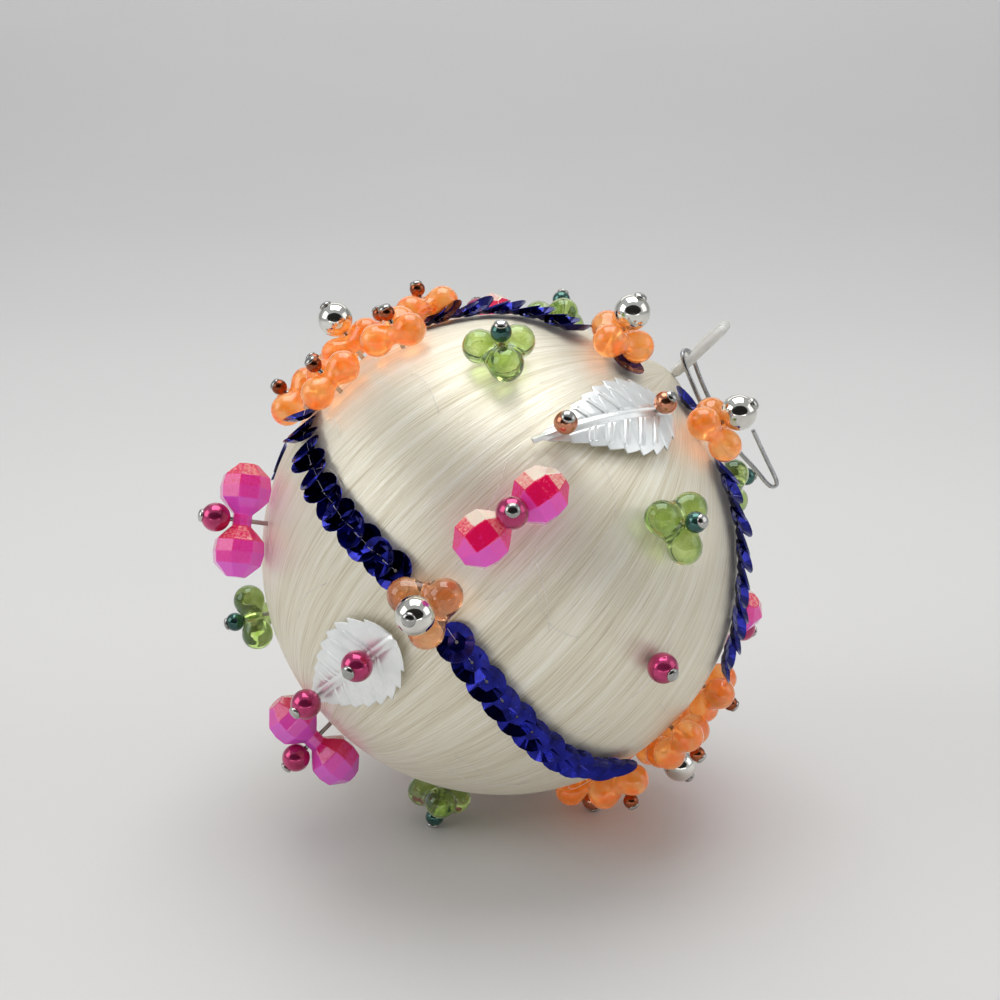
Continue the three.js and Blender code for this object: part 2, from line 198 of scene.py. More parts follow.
# finishes
satinLook = {
    "light": tone(251, 248, 235),
    "cream": tone(237, 230, 209),
    "khaki": tone(206, 194, 164),
    "roughness": (0.3, 0.52),
    # noise scale, lean off the meridian and share of each layer of floss
    "layers": ((420.0, 0.0, 0.44), (170.0, 0.06, 0.3), (30.0, -0.04, 0.26)),
    "contrast": (0.34, 0.5, 0.65),
    "metallic": 0.48,
    "brushed": 0.75,
    "sheen": (0.1, 0.35),
    "bump": (0.45, 0.0003),
}


def satinFinish():
    material, tree, shader = newFinish("satinFloss", {
        "Metallic": satinLook["metallic"], "Anisotropic": satinLook["brushed"],
        "Sheen Weight": satinLook["sheen"][0], "Sheen Roughness": satinLook["sheen"][1]})
    way = addNode(tree, "ShaderNodeAttribute", attribute_name="flossWay").outputs["Vector"]
    east = addNode(tree, "ShaderNodeAttribute", attribute_name="flossEast").outputs["Vector"]
    height = addNode(tree, "ShaderNodeSeparateXYZ", {0: way}).outputs["Z"]
    streak = 0.0
    for scale, lean, share in satinLook["layers"]:
        angle = addNode(tree, "ShaderNodeMath", {0: height, 1: lean / ball["flossLength"]},
                        operation="MULTIPLY")
        turned = addNode(tree, "ShaderNodeVectorRotate", {"Vector": way, "Angle": angle.outputs[0]},
                         rotation_type="Z_AXIS")
        layer = addNode(tree, "ShaderNodeTexNoise", {
            "Vector": turned.outputs["Vector"], "Scale": scale, "Detail": 2.0})
        streak = addNode(tree, "ShaderNodeMath", {0: layer.outputs["Fac"], 1: share, 2: streak},
                         operation="MULTIPLY_ADD").outputs[0]
    dark, even, bright = satinLook["contrast"]
    colour = ramp(tree, streak, (
        (dark, satinLook["khaki"]), (even, satinLook["cream"]), (bright, satinLook["light"])))
    tree.links.new(colour, shader.inputs["Base Color"])
    low, high = satinLook["roughness"]
    addRange(tree, shader, streak, (dark, bright), (high, low))
    tree.links.new(east, shader.inputs["Tangent"])
    addBump(tree, shader, streak, *satinLook["bump"])
    return material


# what the clear beads share, and what the plated or pearl coats share unless a look says otherwise
acrylic = {"ior": 1.47, "coat": (0.6, 0.02), "glowReach": (0.004, 0.0018, 0.0007), "filmIor": 1.4,
           "bump": (0.06, 0.0006)}
plated = {"scale": 500.0, "speckScale": 1100.0, "speckSize": 0.09, "coat": 0.0, "coatRoughness": 0.05,
          "shadeScale": 0.6, "bump": 0.06, "bumpDepth": 0.0004}


def clearFinish(name, look):   # see-through acrylic with faint mould haze; a look's emission strength makes the bead give off its own deep colour, a painted glow
    material, tree, shader = newFinish(name, {
        "IOR": acrylic["ior"], "Transmission Weight": look["clear"],
        "Coat Weight": acrylic["coat"][0], "Coat Roughness": acrylic["coat"][1],
        "Subsurface Weight": look.get("glow", 0.0), "Subsurface Radius": acrylic["glowReach"],
        "Subsurface Scale": 1.0, "Thin Film Thickness": look.get("film", 0.0),
        "Thin Film IOR": acrylic["filmIor"],
        "Emission Color": look["deep"], "Emission Strength": look.get("paintedGlow", 0.0)})
    haze = addMottle(tree, look["swirl"])
    colour = ramp(tree, haze.outputs["Value"], ((0.1, look["deep"]), (0.9, look["pale"])))
    tree.links.new(colour, shader.inputs["Base Color"])
    addRange(tree, shader, haze.outputs["Value"], (0.0, 1.0), look["roughness"])
    addBump(tree, shader, haze.outputs["Height"], *acrylic["bump"])
    return material


def coatFinish(name, ownLook):   # plated or pearl coat with pin-prick wear
    look = {**plated, **ownLook}
    material, tree, shader = newFinish(name, {
        "Metallic": look["metallic"], "Coat Weight": look["coat"], "Coat Roughness": look["coatRoughness"]})
    uneven = addMottle(tree, look["scale"], look["roughness"], (look["speckScale"], look["speckSize"]))
    shade = addMottle(tree, look["scale"] * look["shadeScale"])
    base = ramp(tree, shade.outputs["Value"], ((0.0, look["deep"]), (1.0, look["pale"])))
    worn = blendColours(tree, uneven.outputs["Specks"], base, look["worn"])
    tree.links.new(worn, shader.inputs["Base Color"])
    tree.links.new(uneven.outputs["Value"], shader.inputs["Roughness"])
    addBump(tree, shader, uneven.outputs["Height"], look["bump"], look["bumpDepth"])
    return material


looks = {
    # the orange beads emit a little of their deep colour: painted glow
    "orange": {
        "clear": 0.7, "deep": tone(255, 148, 46), "pale": tone(255, 198, 126),
        "roughness": (0.01, 0.05), "swirl": 420.0, "glow": 0.6, "paintedGlow": 0.08},
    "peach": {
        "clear": 0.96, "deep": tone(255, 160, 92), "pale": tone(255, 206, 160),
        "roughness": (0.0, 0.03), "swirl": 380.0},
    "green": {
        "clear": 0.92, "deep": tone(148, 180, 72), "pale": tone(206, 226, 150),
        "roughness": (0.02, 0.06), "swirl": 380.0, "film": 420.0},
    "silver": {
        "metallic": 1.0, "deep": tone(214, 212, 204), "pale": tone(240, 239, 232),
        "worn": tone(70, 66, 60), "roughness": (0.05, 0.12), "speckScale": 1300.0,
        "speckSize": 0.07},
    "copper": {
        "metallic": 1.0, "deep": tone(168, 104, 76), "pale": tone(226, 160, 128),
        "worn": tone(84, 44, 30), "roughness": (0.12, 0.24)},
    "bronze": {
        "metallic": 1.0, "deep": tone(116, 56, 34), "pale": tone(190, 112, 78),
        "worn": tone(60, 26, 14), "roughness": (0.12, 0.24)},
    "teal": {
        "metallic": 0.8, "deep": tone(26, 62, 58), "pale": tone(74, 122, 112),
        "worn": tone(16, 30, 30), "roughness": (0.08, 0.18), "coat": 0.5},
    "pearl": {
        "metallic": 0.75, "deep": tone(150, 22, 74), "pale": tone(206, 62, 122),
        "worn": tone(110, 18, 56), "roughness": (0.14, 0.24), "coat": 0.6, "speckSize": 0.05},
    "steel": {
        "metallic": 1.0, "deep": tone(150, 150, 148), "pale": tone(206, 205, 200),
        "worn": tone(60, 58, 56), "roughness": (0.1, 0.2), "speckSize": 0.05},
    "wire": {
        "metallic": 1.0, "deep": tone(150, 152, 154), "pale": tone(200, 201, 202),
        "worn": tone(70, 68, 66), "roughness": (0.2, 0.34)},
    "foil": {
        "metallic": 0.6, "deep": tone(232, 236, 234), "pale": tone(248, 250, 248),
        "worn": tone(222, 226, 224), "roughness": (0.28, 0.36), "bump": 0.01},
    "sequin": {
        "metallic": 1.0, "deep": tone(14, 14, 84), "pale": tone(34, 40, 158),
        "worn": tone(70, 78, 214), "roughness": (0.1, 0.24), "coat": 0.2, "scale": 900.0},
}

pinkLook = {
    # facet tints from underside to top: violet and magenta below, crimson, then coral and gold-white on top
    # as painted highlight
    "facets": ((0.0, tone(232, 100, 222)), (0.34, tone(236, 90, 206)), (0.46, tone(246, 90, 190)),
               (0.58, tone(242, 62, 160)), (0.68, tone(226, 14, 84)), (0.8, tone(232, 18, 88)),
               (0.87, tone(255, 176, 156)), (0.95, tone(255, 244, 214))),
    "grain": 0.05,
    "grainScale": 2400.0,
    "roughness": (0.05, 0.14),
    "ior": 1.5,
    "clear": 0.25,
    "glow": 0.6,
    "glowReach": (0.004, 0.0012, 0.0026),
    "coat": (0.5, 0.05),
    "bump": (0.1, 0.0002),
}


def pinkFinish():   # each cut facet's tint is painted light and reflection: it follows how far the facet faces up, with fine random grain on top
    material, tree, shader = newFinish("pinkCut", {
        "IOR": pinkLook["ior"], "Transmission Weight": pinkLook["clear"],
        "Coat Weight": pinkLook["coat"][0], "Coat Roughness": pinkLook["coat"][1],
        "Subsurface Weight": pinkLook["glow"], "Subsurface Radius": pinkLook["glowReach"],
        "Subsurface Scale": 1.0})
    tint = addNode(tree, "ShaderNodeAttribute", attribute_name="facetTintAndLight").outputs["Fac"]
    grain = addMottle(tree, pinkLook["grainScale"], (-pinkLook["grain"], pinkLook["grain"]))
    shifted = addNode(tree, "ShaderNodeMath", {0: tint, 1: grain.outputs["Value"]},
                      operation="ADD", use_clamp=True)
    tree.links.new(ramp(tree, shifted.outputs[0], pinkLook["facets"]), shader.inputs["Base Color"])
    addRange(tree, shader, grain.outputs["Height"], cloudSpan, pinkLook["roughness"])
    addBump(tree, shader, grain.outputs["Height"], *pinkLook["bump"])
    return material


milkyLook = {
    "tones": (tone(222, 222, 216), tone(246, 246, 242)),
    "roughness": (0.18, 0.34),
    "ior": 1.46,
    "clear": 0.35,
    "glow": 0.6,
    "glowReach": (0.002, 0.002, 0.002),
    "swirl": 260.0,
    "bump": (0.1, 0.0005),
}


def milkyFinish():
    material, tree, shader = newFinish("milkyPlastic", {
        "IOR": milkyLook["ior"], "Transmission Weight": milkyLook["clear"],
        "Subsurface Weight": milkyLook["glow"], "Subsurface Radius": milkyLook["glowReach"],
        "Subsurface Scale": 1.0})
    haze = addMottle(tree, milkyLook["swirl"], milkyLook["roughness"])
    colour = ramp(tree, haze.outputs["Height"], list(zip(cloudSpan, milkyLook["tones"])))
    tree.links.new(colour, shader.inputs["Base Color"])
    tree.links.new(haze.outputs["Value"], shader.inputs["Roughness"])
    addBump(tree, shader, haze.outputs["Height"], *milkyLook["bump"])
    return material


threadLook = {
    "tones": ((0.2, tone(196, 190, 186)), (0.8, tone(236, 232, 226))),
    "roughness": 0.5,
    "sheen": 0.4,
    "twist": 1500.0,
    "bump": (0.3, 0.0002),
}


def threadFinish():
    material, tree, shader = newFinish("paleThread", {
        "Roughness": threadLook["roughness"], "Sheen Weight": threadLook["sheen"]})
    twist = addMottle(tree, threadLook["twist"])
    tree.links.new(ramp(tree, twist.outputs["Value"], threadLook["tones"]), shader.inputs["Base Color"])
    addBump(tree, shader, twist.outputs["Height"], *threadLook["bump"])
    return material


finishes = {name: clearFinish(name + "Clear", looks[name]) for name in ("orange", "peach", "green")}
for name in ("silver", "copper", "bronze", "teal", "pearl", "steel", "wire", "foil", "sequin"):
    finishes[name] = coatFinish(name + "Coat", looks[name])
finishes["satin"] = satinFinish()
finishes["pink"] = pinkFinish()
finishes["milky"] = milkyFinish()
finishes["thread"] = threadFinish()
# clear beads let the light through to the floss, except the ones close to the table
shadowless = {"finishes": ("orange", "peach", "green", "pink"), "above": 0.02}
print("finishes made:", len(finishes))


# mesh helpers: a shape is a mesh in its own millimetres, placed into pieces as often as needed
def keepShape(bm, smooth=True):
    for face in bm.faces:
        face.smooth = smooth
    shape = bpy.data.meshes.new("shape")
    bm.to_mesh(shape)
    bm.free()
    return shape


def lathe(profile, steps):
    bm = bmesh.new()
    verts = [bm.verts.new((reach, 0, height)) for reach, height in profile]
    edges = [bm.edges.new(pair) for pair in zip(verts, verts[1:])]
    bmesh.ops.spin(bm, geom=verts + edges, cent=(0, 0, 0), axis=(0, 0, 1), angle=2 * math.pi,
                   steps=steps, use_merge=True)
    bmesh.ops.remove_doubles(bm, verts=bm.verts, dist=1e-4)
    bmesh.ops.recalc_face_normals(bm, faces=bm.faces)
    return bm


def tubeShape(points, radius, sides, cyclic=False):
    curve = bpy.data.curves.new("route", "CURVE")
    curve.dimensions = "3D"
    curve.bevel_depth = radius
    curve.bevel_resolution = max(0, sides // 2 - 2)
    curve.use_fill_caps = not cyclic
    spline = curve.splines.new("POLY")
    spline.points.add(len(points) - 1)
    for point, place in zip(spline.points, points):
        point.co = (*place, 1.0)
    spline.use_cyclic_u = cyclic
    holder = bpy.data.objects.new("route", curve)
    shape = bpy.data.meshes.new_from_object(holder)
    bpy.data.objects.remove(holder)
    bpy.data.curves.remove(curve)
    bm = bmesh.new()
    bm.from_mesh(shape)
    bpy.data.meshes.remove(shape)
    bmesh.ops.remove_doubles(bm, verts=bm.verts, dist=1e-5)
    bmesh.ops.recalc_face_normals(bm, faces=bm.faces)
    return keepShape(bm)


def smoothRoute(points, perSpan):
    route = []
    count = len(points)
    for i in range(count - 1):
        picks = [min(max(i + k, 0), count - 1) for k in (-1, 0, 1, 2)]
        before, start, end, after = (Vector(points[k]) for k in picks)
        for step in range(perSpan):
            t = step / perSpan
            route.append(0.5 * (
                2 * start + (end - before) * t
                + (2 * before - 5 * start + 4 * end - after) * t ** 2
                + (3 * start - before - 3 * end + after) * t ** 3))
    route.append(Vector(points[-1]))
    return route


def place(bm, shape, matrix, index=0):
    firstVert, firstFace = len(bm.verts), len(bm.faces)
    bm.from_mesh(shape)
    bm.verts.ensure_lookup_table()
    bm.faces.ensure_lookup_table()
    bmesh.ops.transform(bm, matrix=matrix, verts=bm.verts[firstVert:])
    for face in bm.faces[firstFace:]:
        face.material_index = index


def makePiece(name, bm, finishNames, slot, *nodes):
    mesh = bpy.data.meshes.new(name)
    bm.to_mesh(mesh)
    bm.free()
    for finishName in finishNames:
        mesh.materials.append(finishes[finishName])
    piece = bpy.data.objects.new(name, mesh)
    bpy.context.scene.collection.objects.link(piece)
    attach(piece, "root")
    high = min(v.co.z for v in mesh.vertices) > shadowless["above"]
    piece.visible_shadow = not (high and finishNames[0] in shadowless["finishes"])
    if nodes:
        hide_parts(*nodes)
    return piece


# satin floss ball, wound through the hanger so every thread is a meridian
def flossGroove(lon, height):
    depth = 0.0
    for count, amount in ball["grooves"]:
        spot = Vector((math.cos(lon), math.sin(lon), height * ball["grooveWander"]))
        depth += amount * noise.noise(spot * (count / (2 * math.pi)))
    return depth


def makeBall():
    bm = bmesh.new()
    bmesh.ops.create_uvsphere(bm, u_segments=ball["around"], v_segments=ball["rings"], radius=1.0)
    wayLayer = bm.verts.layers.float_vector.new("flossWay")
    eastLayer = bm.verts.layers.float_vector.new("flossEast")
    turn = seatTurn(*ball["hanger"])
    for vert in bm.verts:
        out = vert.co.normalized()
        polar = math.acos(max(-1.0, min(1.0, out.z)))
        lon = math.atan2(out.y, out.x)
        fade = min(1.0, math.sin(polar) * ball["poleFade"])
        mound = ball["moundHeight"] * math.exp(-(polar * ball["radius"] / ball["moundSpread"]) ** 2)
        radius = ball["radius"] + mound + fade * flossGroove(lon, out.z)
        vert[wayLayer] = (math.cos(lon), math.sin(lon), ball["flossLength"] * polar)
        vert[eastLayer] = turn.to_3x3() @ Vector((-math.sin(lon), math.cos(lon), 0.0))
        vert.co = out * radius
    bmesh.ops.transform(bm, matrix=toRow @ turn, verts=bm.verts)
    for face in bm.faces:
        face.smooth = True
    return makePiece("satin_floss_ball", bm, ["satin"], "satin", "satin_ball")


makeBall()
print("ball wound")

# round beads on headed pins
pins = {
    "beadRadius": {"silver": 2.65, "copper": 1.65, "bronze": 1.2, "teal": 1.5, "pearl": 2.2},
    "clearance": 0.3,
    "shank": 0.35,
    "head": 1.0,
    "rim": 0.35,
    "dome": 0.35,
    "sink": 1.5,      # how far the shank is pushed into the floss
    "bore": 0.5,
    "headDome": ((0.0, 0.0), (0.45, 0.04), (0.78, 0.17), (0.96, 0.36)),   # reach and drop below the top
    "headWidest": 0.7,    # in rim heights
    "headFoot": ((0.97, 0.1), (0.86, 0.0)),
    "neck": (-0.05, -0.3),
    "lean": 3.0,      # degrees by which a bead may tip on its pin
    "beadSteps": (18, 32),
    "headSteps": 28,
    "shankSteps": 12,
}


def beadShape(radius):
    mouth = math.asin(pins["bore"] / radius)
    down, around = pins["beadSteps"]
    arc = [mouth + (math.pi - 2 * mouth) * i / down for i in range(down + 1)]
    outer = [(radius * math.sin(a), radius * math.cos(a)) for a in arc]
    return keepShape(lathe(outer + [outer[0]], around))


def headShape():
    top = pins["rim"] + pins["dome"]
    dome = [(reach, top - drop) for reach, drop in pins["headDome"]]
    widest = (pins["head"], pins["rim"] * pins["headWidest"])
    neck = [(pins["shank"], height) for height in pins["neck"]]
    profile = [*dome, widest, *pins["headFoot"], *neck, (0, pins["neck"][1])]
    return keepShape(lathe(profile, pins["headSteps"]))


beadShapes = {kind: beadShape(radius) for kind, radius in pins["beadRadius"].items()}
pinHead = headShape()


def addPin(bm, kind, seatHeight, matrix, beadIndex, steelIndex):
    radius = pins["beadRadius"][kind]
    centre = seatHeight + pins["clearance"] + radius
    roll = spin("Z", dice.uniform(0, 360))
    lean = spin("X", dice.uniform(-pins["lean"], pins["lean"]))
    place(bm, beadShapes[kind], matrix @ Matrix.Translation((0, 0, centre)) @ lean @ roll, beadIndex)
    rim = centre + math.sqrt(radius ** 2 - pins["head"] ** 2)
    place(bm, pinHead, matrix @ Matrix.Translation((0, 0, rim)) @ roll, steelIndex)
    profile = [(0, rim), (pins["shank"], rim), (pins["shank"], -pins["sink"]), (0, -pins["sink"])]
    shank = keepShape(lathe(profile, pins["shankSteps"]))
    place(bm, shank, matrix, steelIndex)
    bpy.data.meshes.remove(shank)


# three-lobed beads
lobed = {
    "lobeRadius": 2.6,
    "lobeOffset": 3.2,
    "hubRadius": 3.2,
    "hubTop": 4.4,
    "hubFlat": 0.43,
    "blend": 0.55,
    "inset": 0.12,       # what the soft blend would add to a lobe
    "bore": 0.75,
    "around": 54,
    "rings": 28,
    "search": (0.2, 9.0),
    "halvings": 24,
}


def lobedDistance(spot):   # soft union of three balls and a flattened hub
    hub = Vector((spot.x, spot.y, spot.z / lobed["hubFlat"])).length - lobed["hubRadius"]
    total = math.exp(-hub / lobed["blend"])
    for k in range(3):
        angle = 2 * math.pi * k / 3
        middle = Vector((math.cos(angle), math.sin(angle), 0)) * lobed["lobeOffset"]
        gap = (spot - middle).length - lobed["lobeRadius"] + lobed["inset"]
        total += math.exp(-gap / lobed["blend"])
    return -lobed["blend"] * math.log(total)


def lobedShape():
    bm = bmesh.new()
    bmesh.ops.create_uvsphere(bm, u_segments=lobed["around"], v_segments=lobed["rings"], radius=1.0)
    for vert in bm.verts:
        out = vert.co.normalized()
        near, far = lobed["search"]
        for _ in range(lobed["halvings"]):
            middle = (near + far) / 2
            near, far = (middle, far) if lobedDistance(out * middle) < 0 else (near, middle)
        vert.co = out * near
    mouth = [v for v in bm.verts if v.co.to_2d().length < lobed["bore"]]
    bmesh.ops.delete(bm, geom=mouth, context="VERTS")
    rims = [e for e in bm.edges if e.is_boundary]
    bmesh.ops.bridge_loops(bm, edges=rims)
    bmesh.ops.recalc_face_normals(bm, faces=bm.faces)
    bmesh.ops.translate(bm, vec=(0, 0, pins["clearance"] + lobed["lobeRadius"]), verts=bm.verts)
    return keepShape(bm)


flower = lobedShape()

flowers = [
    {"name": "front_flower", "finish": "peach", "top": "silver", "seat": (8.8, 5.1, 319)},
    {"name": "hanger_flower_a", "finish": "orange", "top": "silver", "seat": (19, 85, 256)},
    {"name": "hanger_flower_b", "finish": "orange", "top": "silver", "seat": (-8.1, 83.3, 235)},
    {"name": "back_flower", "finish": "orange", "top": "silver", "seat": (6, -130, 180)},
    {"name": "green_top", "finish": "green", "top": "teal", "seat": (35.7, 58.5, 75)},
    {"name": "green_right", "finish": "green", "top": "teal", "seat": (-14.1, 53.4, 94)},
    {"name": "green_left", "finish": "green", "top": "teal", "seat": (28.8, -71, 38)},
    {"name": "green_foot", "finish": "green", "top": "teal", "seat": (-32.4, -68.2, 88), "rests": True},
    {"name": "green_back_high", "finish": "green", "top": "teal", "seat": (31, 129, 30), "joined": True},
    {"name": "green_back_low", "finish": "green", "top": "teal", "seat": (-27, 124, 10), "joined": True},
]
clusters = [
    {"name": "upper", "middle": (80.4, 77.3), "start": 35, "spread": 17.4},
    {"name": "lower", "middle": (-86.3, -55.3), "start": 28, "spread": 17.4, "foot": 3, "footSpread": 20.3},
]
ring = {"count": 6, "turn": 47}


def clusterRows(cluster):
    yield {"name": cluster["name"] + "_cluster_middle", "top": "silver", "seat": (*cluster["middle"], 0)}
    lat, lon = cluster["middle"]
    step = 360 / ring["count"]
    for i in range(ring["count"]):
        rests = i == cluster.get("foot")
        spread = cluster["footSpread"] if rests else cluster["spread"]
        around = spin("Z", lon) @ spin("Y", 90 - lat) @ spin("Z", cluster["start"] + step * i)
        out = around @ spin("Y", spread) @ Vector((0, 0, 1))
        east = math.degrees(math.atan2(out.y, out.x))
        yield {"name": f"{cluster['name']}_cluster_{i + 1}", "top": "copper" if rests else "bronze",
               "rests": rests, "seat": (math.degrees(math.asin(out.z)), east, ring["turn"] * i)}


def trimAtTable(bm):   # the small flat on which a pin head meets the table
    geom = list(bm.verts) + list(bm.edges) + list(bm.faces)
    cut = bmesh.ops.bisect_plane(bm, geom=geom, plane_co=(0, 0, 0), plane_no=(0, 0, 1), clear_inner=True)
    rims = [e for e in cut["geom_cut"] if isinstance(e, bmesh.types.BMEdge)]
    if rims:
        bmesh.ops.holes_fill(bm, edges=rims)


def makeBead(row, shape, finish, top, seatHeight, slot):   # a bead and its pin, in one piece or two
    matrix = seat(*row["seat"])
    joined = row.get("joined")
    bm = bmesh.new()
    place(bm, shape, matrix)
    bead = None
    if not joined:
        bead = makePiece(row["name"] + "_bead", bm, [finish], slot, row["name"])
        bm = bmesh.new()
    addPin(bm, top, seatHeight, matrix, *((1, 2) if joined else (0, 1)))
    if row.get("rests"):
        trimAtTable(bm)
    if joined:
        return makePiece(row["name"] + "_bead", bm, [finish, top, "steel"], slot, row["name"])
    makePiece(row["name"] + "_headed_pin", bm, [top, "steel"], top, row["name"] + "_pin")
    return bead


for row in flowers:
    slot = "green" if row["finish"] == "green" else "orange"
    makeBead(row, flower, row["finish"], row["top"], lobed["hubTop"], slot)
for cluster in clusters:
    for row in clusterRows(cluster):
        makeBead({**row, "joined": True}, flower, "orange", row["top"], lobed["hubTop"], "orange")
print("lobed beads pinned")

# pink dumbbell beads, cut with eight long facets
dumbbell = {
    "height": 3.9,
    "neck": 1.45,
    "half": ((1.5, 0.9), (2.5, 1.8), (3.75, 3.1), (3.95, 4.9), (3.6, 6.7), (1.5, 8.6), (0, 8.6)),
    "sides": 8,
    "edge": 0.09,
    "tintWander": 0.14,   # how far a facet's tint strays, and how fast
    "tintScale": 3.0,
    "tintStart": (2.0, 0.0, 0.0),
}
dumbbells = [
    {"name": "dumbbell_front", "seat": (10.2, 28.5, 83)},
    {"name": "dumbbell_left", "seat": (49.6, -44, 172), "tint": -0.14},
    {"name": "dumbbell_low", "seat": (-0.8, -63.1, 173), "tint": -0.2},
    {"name": "dumbbell_foot", "seat": (-27.6, -108.6, -6), "joined": True, "rests": True},
    {"name": "dumbbell_back_high", "seat": (43, 152, 90), "joined": True},
    {"name": "dumbbell_back_low", "seat": (-59, 140, 75), "joined": True},
]


def dumbbellShape():
    upper = list(dumbbell["half"])
    lower = [(reach, -height) for reach, height in reversed(upper)]
    bm = lathe(lower + upper, dumbbell["sides"])
    bmesh.ops.dissolve_limit(bm, angle_limit=0.01, verts=bm.verts, edges=bm.edges)
    bmesh.ops.bevel(bm, geom=list(bm.edges), offset=dumbbell["edge"], segments=1, affect="EDGES",
                    profile=0.5, material=-1)
    lay = spin("Y", 90) @ spin("Z", 180 / dumbbell["sides"])
    bmesh.ops.transform(bm, matrix=Matrix.Translation((0, 0, dumbbell["height"])) @ lay, verts=bm.verts)
    return keepShape(bm, smooth=False)


dumbbellCut = dumbbellShape()


def tintFacetsWithPaintedLight(piece, shift):   # painted reflection: a facet's tint follows how far it faces up, violet underneath through crimson to a painted gold-white highlight on top, plus a small random wander
    mesh = piece.data
    tint = mesh.attributes.new("facetTintAndLight", "FLOAT", "FACE")
    for polygon in mesh.polygons:
        spot = polygon.normal * dumbbell["tintScale"] + Vector(dumbbell["tintStart"])
        rise = shift + polygon.normal.z * 0.5 + 0.5 + dumbbell["tintWander"] * noise.noise(spot)
        tint.data[polygon.index].value = max(0.0, min(1.0, rise))


pearls = [{"name": "pearl_front", "seat": (-34.9, 31.8)}, {"name": "pearl_back", "seat": (-36, 186)}]

for row in dumbbells:
    bead = makeBead(row, dumbbellCut, "pink", "pearl", dumbbell["height"] + dumbbell["neck"], "pink")
    tintFacetsWithPaintedLight(bead, row.get("tint", 0.0))
for row in pearls:
    bm = bmesh.new()
    addPin(bm, "pearl", 0, seat(*row["seat"]), 0, 1)
    makePiece(row["name"] + "_headed_pin", bm, ["pearl", "steel"], "pearl", row["name"])
print("dumbbells and pearls pinned")

# stamped foil leaves
leaf = {
    "length": 24.0,
    "width": 13.0,
    "foil": 0.35,
    "top": 1.5,          # height of the rim's upper face above the ball
    "crease": 0.3,
    "teeth": 10,
    "toothDepth": 0.14,
    "toothed": (0.14, 0.9),     # share of the length that has teeth
    "fullest": 1.9,
    "roundness": 0.62,
    "veins": 5,
    "veinFirst": 0.385,
    "veinGap": 0.114,
    "veinSweep": 0.55,
    "veinEnd": 0.8,
    "veinWidth": 0.2,
    "ribWidth": 0.34,
    "veinRise": 0.1,
    "groove": 0.09,             # depth pressed in beside each vein
    "grooveAt": 2.0,            # in vein widths
    "grooveWidth": 0.7,
    "veinFade": 0.05,           # share of the half width over which a vein's end fades
    "ribClear": 0.5,            # where the side veins start beside the midrib
    "tip": 0.45,
    "steps": (220, 96),
}
leaves = [
    {"name": "leaf_right", "seat": (10, 60.3, 61.4), "bead": "copper", "pins": (-7.7, 8.5)},
    {"name": "leaf_left", "seat": (8.8, -23.5, 90.3), "bead": "pearl", "pins": (-7.3, 6.6)},
    {"name": "leaf_back", "seat": (2, 168, 40), "bead": "copper", "pins": (-7.7, 8.5), "joined": True},
]


def leafHalfWidth(along):
    first, last = leaf["toothed"]
    depth = leaf["toothDepth"] if first < along < last else 0.0
    tooth = (along * leaf["teeth"]) % 1.0
    body = max(0.0, math.sin(math.pi * along ** leaf["fullest"])) ** leaf["roundness"]
    return max(leaf["tip"], leaf["width"] / 2 * body * (1 - depth * tooth))


def veinLine(offset, width):   # raised line with a groove pressed in on both sides
    beside = (abs(offset) - leaf["grooveAt"] * width) / (leaf["grooveWidth"] * width)
    return leaf["veinRise"] * math.exp(-(offset / width) ** 2) - leaf["groove"] * math.exp(-beside ** 2)


def leafRelief(x, y, side):   # midrib and swept side veins
    reach = abs(y)
    rise = leaf["crease"] * (1 - abs(side)) + veinLine(y, leaf["ribWidth"])
    outer = (leaf["veinEnd"] - abs(side)) / leaf["veinFade"]
    inner = (reach - leaf["ribClear"]) / leaf["ribClear"]
    fade = min(1.0, max(0.0, outer)) * min(1.0, max(0.0, inner))
    slant = 1 / math.hypot(1, leaf["veinSweep"])
    for k in range(leaf["veins"]):
        start = (leaf["veinFirst"] + leaf["veinGap"] * k - 0.5) * leaf["length"]
        rise += fade * veinLine((x - start + leaf["veinSweep"] * reach) * slant, leaf["veinWidth"])
    return rise


def leafShape():
    bm = bmesh.new()
    across, up = leaf["steps"]
    bmesh.ops.create_grid(bm, x_segments=across, y_segments=up, size=1.0)
    for vert in bm.verts:
        along = vert.co.x / 2 + 0.5
        side = vert.co.y
        x = (along - 0.5) * leaf["length"]
        y = side * leafHalfWidth(along)
        height = ball["radius"] + leaf["top"] + leafRelief(x, y, side)
        vert.co = bendOver(x, y, height)
    bmesh.ops.recalc_face_normals(bm, faces=bm.faces)
    if sum(f.normal.z for f in bm.faces) < 0:
        bmesh.ops.reverse_faces(bm, faces=bm.faces)
    bmesh.ops.solidify(bm, geom=list(bm.faces), thickness=leaf["foil"])
    return keepShape(bm)


leafBlade = leafShape()
for row in leaves:
    bm = bmesh.new()
    place(bm, leafBlade, seat(*row["seat"]))
    pinSeat = leaf["top"] + leaf["crease"]
    if row.get("joined"):
        for along in row["pins"]:
            addPin(bm, row["bead"], pinSeat, seat(*row["seat"], along), 1, 2)
        makePiece(row["name"] + "_foil", bm, ["foil", row["bead"], "steel"], "leaf", row["name"])
        continue
    makePiece(row["name"] + "_foil", bm, ["foil"], "leaf", row["name"])
    for number, along in enumerate(row["pins"], 1):
        bm = bmesh.new()
        addPin(bm, row["bead"], pinSeat, seat(*row["seat"], along), 0, 1)
        node = f"{row['name']}_pin_{number}"
        makePiece(node + "_headed", bm, [row["bead"], "steel"], row["bead"], node)
print("leaves pinned")

# cup sequins sewn on a thread, half a strand at a time
sequin = {
    "radius": 2.8,
    "flat": 1.3,
    "hole": 0.25,
    "depth": 0.75,
    "film": 0.08,
    "facets": 18,
    "clearance": 0.3,
    "thread": 0.03,
    "threadSides": 5,
    # where the thread runs at a disc: along in radii, and up
    "threadPath": ((-0.75, 0.55), (-0.4, 0.1), (0.0, -0.45), (0.3, -0.75)),
    "threadSteps": 3,
    "jitter": 6.0,
    "floorGrow": 1.1,
    "routeSteps": 24,
    "nudge": 0.01,
}
